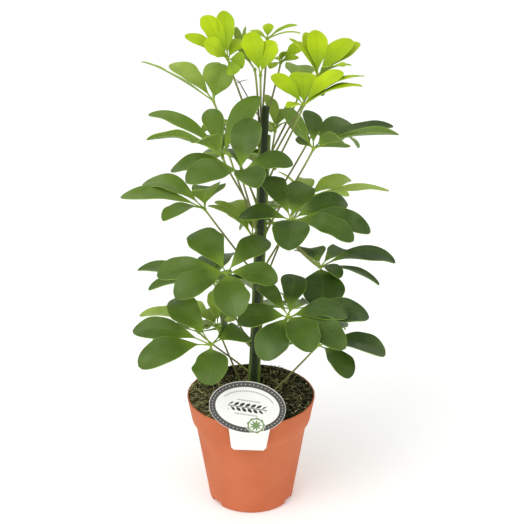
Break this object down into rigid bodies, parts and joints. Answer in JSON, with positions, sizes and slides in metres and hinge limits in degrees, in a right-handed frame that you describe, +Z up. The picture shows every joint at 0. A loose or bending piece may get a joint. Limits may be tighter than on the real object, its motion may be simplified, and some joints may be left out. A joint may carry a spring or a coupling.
{
  "type": "potted umbrella plant",
  "caption": "Umbrella plant with whorls of oval leaflets on slender petioles, tied up a slim stake in a tapered round pot of soil with an oval plant label at the front.",
  "frame": {"origin": "centre of the pot's underside, on the surface that the pot stands on", "axes": "+Z up along the pot's axis; -Y towards the viewer of the picture, on the side of the plant label; +X to that viewer's right"},
  "size_m": [0.2493, 0.2526, 0.4756],
  "materials": {
    "terracotta_plastic": "matte, terracotta orange",
    "soil": "loose dark peat with straw-coloured fibres",
    "stake": "satin, very dark green",
    "label": "satin white with a dark border",
    "stem": "smooth green bark",
    "leaf_young": "glossy lime green",
    "leaf_light": "satin light green",
    "leaf_green": "satin mid green",
    "leaf_dark": "glossy dark green"
  },
  "bodies": {
    "root": {"pot": "terracotta_plastic", "soil": "soil", "stake": "stake", "label": "label", "stem_left": "stem", "stem_right": "stem", "stem_back": "stem", "leaf_low_left": "leaf_dark", "leaf_low_right": "leaf_dark", "leaf_low_left_behind": "leaf_light", "leaf_low_back_left": "leaf_dark", "leaf_low_back_right": "leaf_dark", "leaf_lower_left_behind": "leaf_dark", "leaf_lower_left": "leaf_dark", "leaf_lower_right": "leaf_dark", "leaf_lower_back_left": "leaf_dark", "leaf_side_right": "leaf_dark", "leaf_middle_right": "leaf_dark", "leaf_middle_back_right": "leaf_dark", "leaf_middle_right_behind": "leaf_light", "leaf_middle_left": "leaf_green", "leaf_middle_back": "leaf_light", "leaf_upper_back_left": "leaf_green", "leaf_upper_left_front": "leaf_dark", "leaf_upper_left": "leaf_green", "leaf_upper_right": "leaf_dark", "leaf_upper_back_right": "leaf_green", "leaf_upper_middle": "leaf_light", "leaf_top_far_left": "leaf_light", "leaf_top_right_behind": "leaf_light", "leaf_top_back": "leaf_light", "leaf_top_bud": "leaf_young", "leaf_top_right_front": "leaf_young", "leaf_top_right": "leaf_young", "leaf_top_middle_small": "leaf_young", "leaf_top_middle": "leaf_young", "leaf_top_middle_behind": "leaf_light", "leaf_top_left": "leaf_young"}
  },
  "joints": []
}
